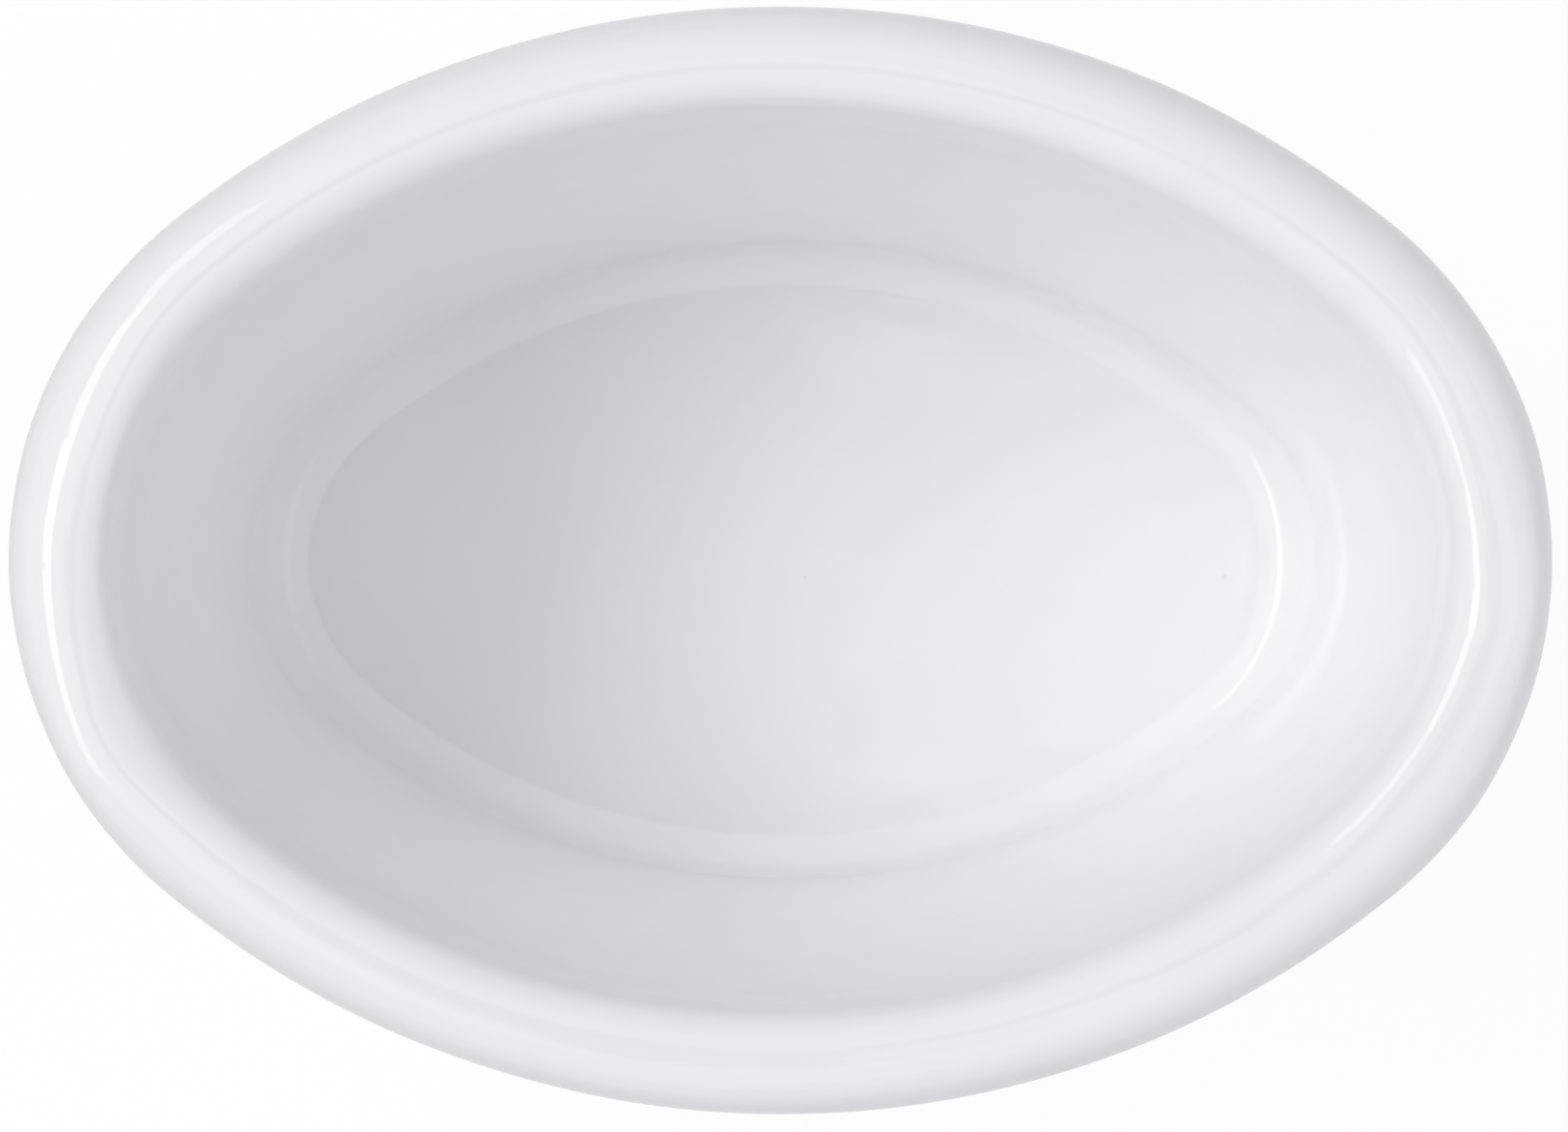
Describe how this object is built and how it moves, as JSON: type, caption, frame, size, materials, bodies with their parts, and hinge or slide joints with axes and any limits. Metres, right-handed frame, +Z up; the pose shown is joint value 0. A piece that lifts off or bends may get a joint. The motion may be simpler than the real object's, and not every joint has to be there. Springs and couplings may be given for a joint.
{
  "type": "oval ramekin",
  "caption": "Deep oval ramekin in white glazed stoneware with a thick rolled rim, sloping walls, a flat inside floor and a bare foot ring, for baking and serving single portions.",
  "frame": {"origin": "centre of the foot ring, on the surface the ramekin stands on", "axes": "+X along the long axis of the oval, +Y along its short axis, +Z up out of the open top"},
  "size_m": [0.114, 0.0818, 0.051],
  "materials": {
    "fired_clay": "bare fired clay, matt",
    "white_glaze": "white gloss glaze",
    "well_glaze": "white gloss glaze"
  },
  "bodies": {
    "root": {"stoneware_body": "fired_clay", "glaze_coat": "white_glaze", "foot_well_glaze": "well_glaze"}
  },
  "joints": []
}
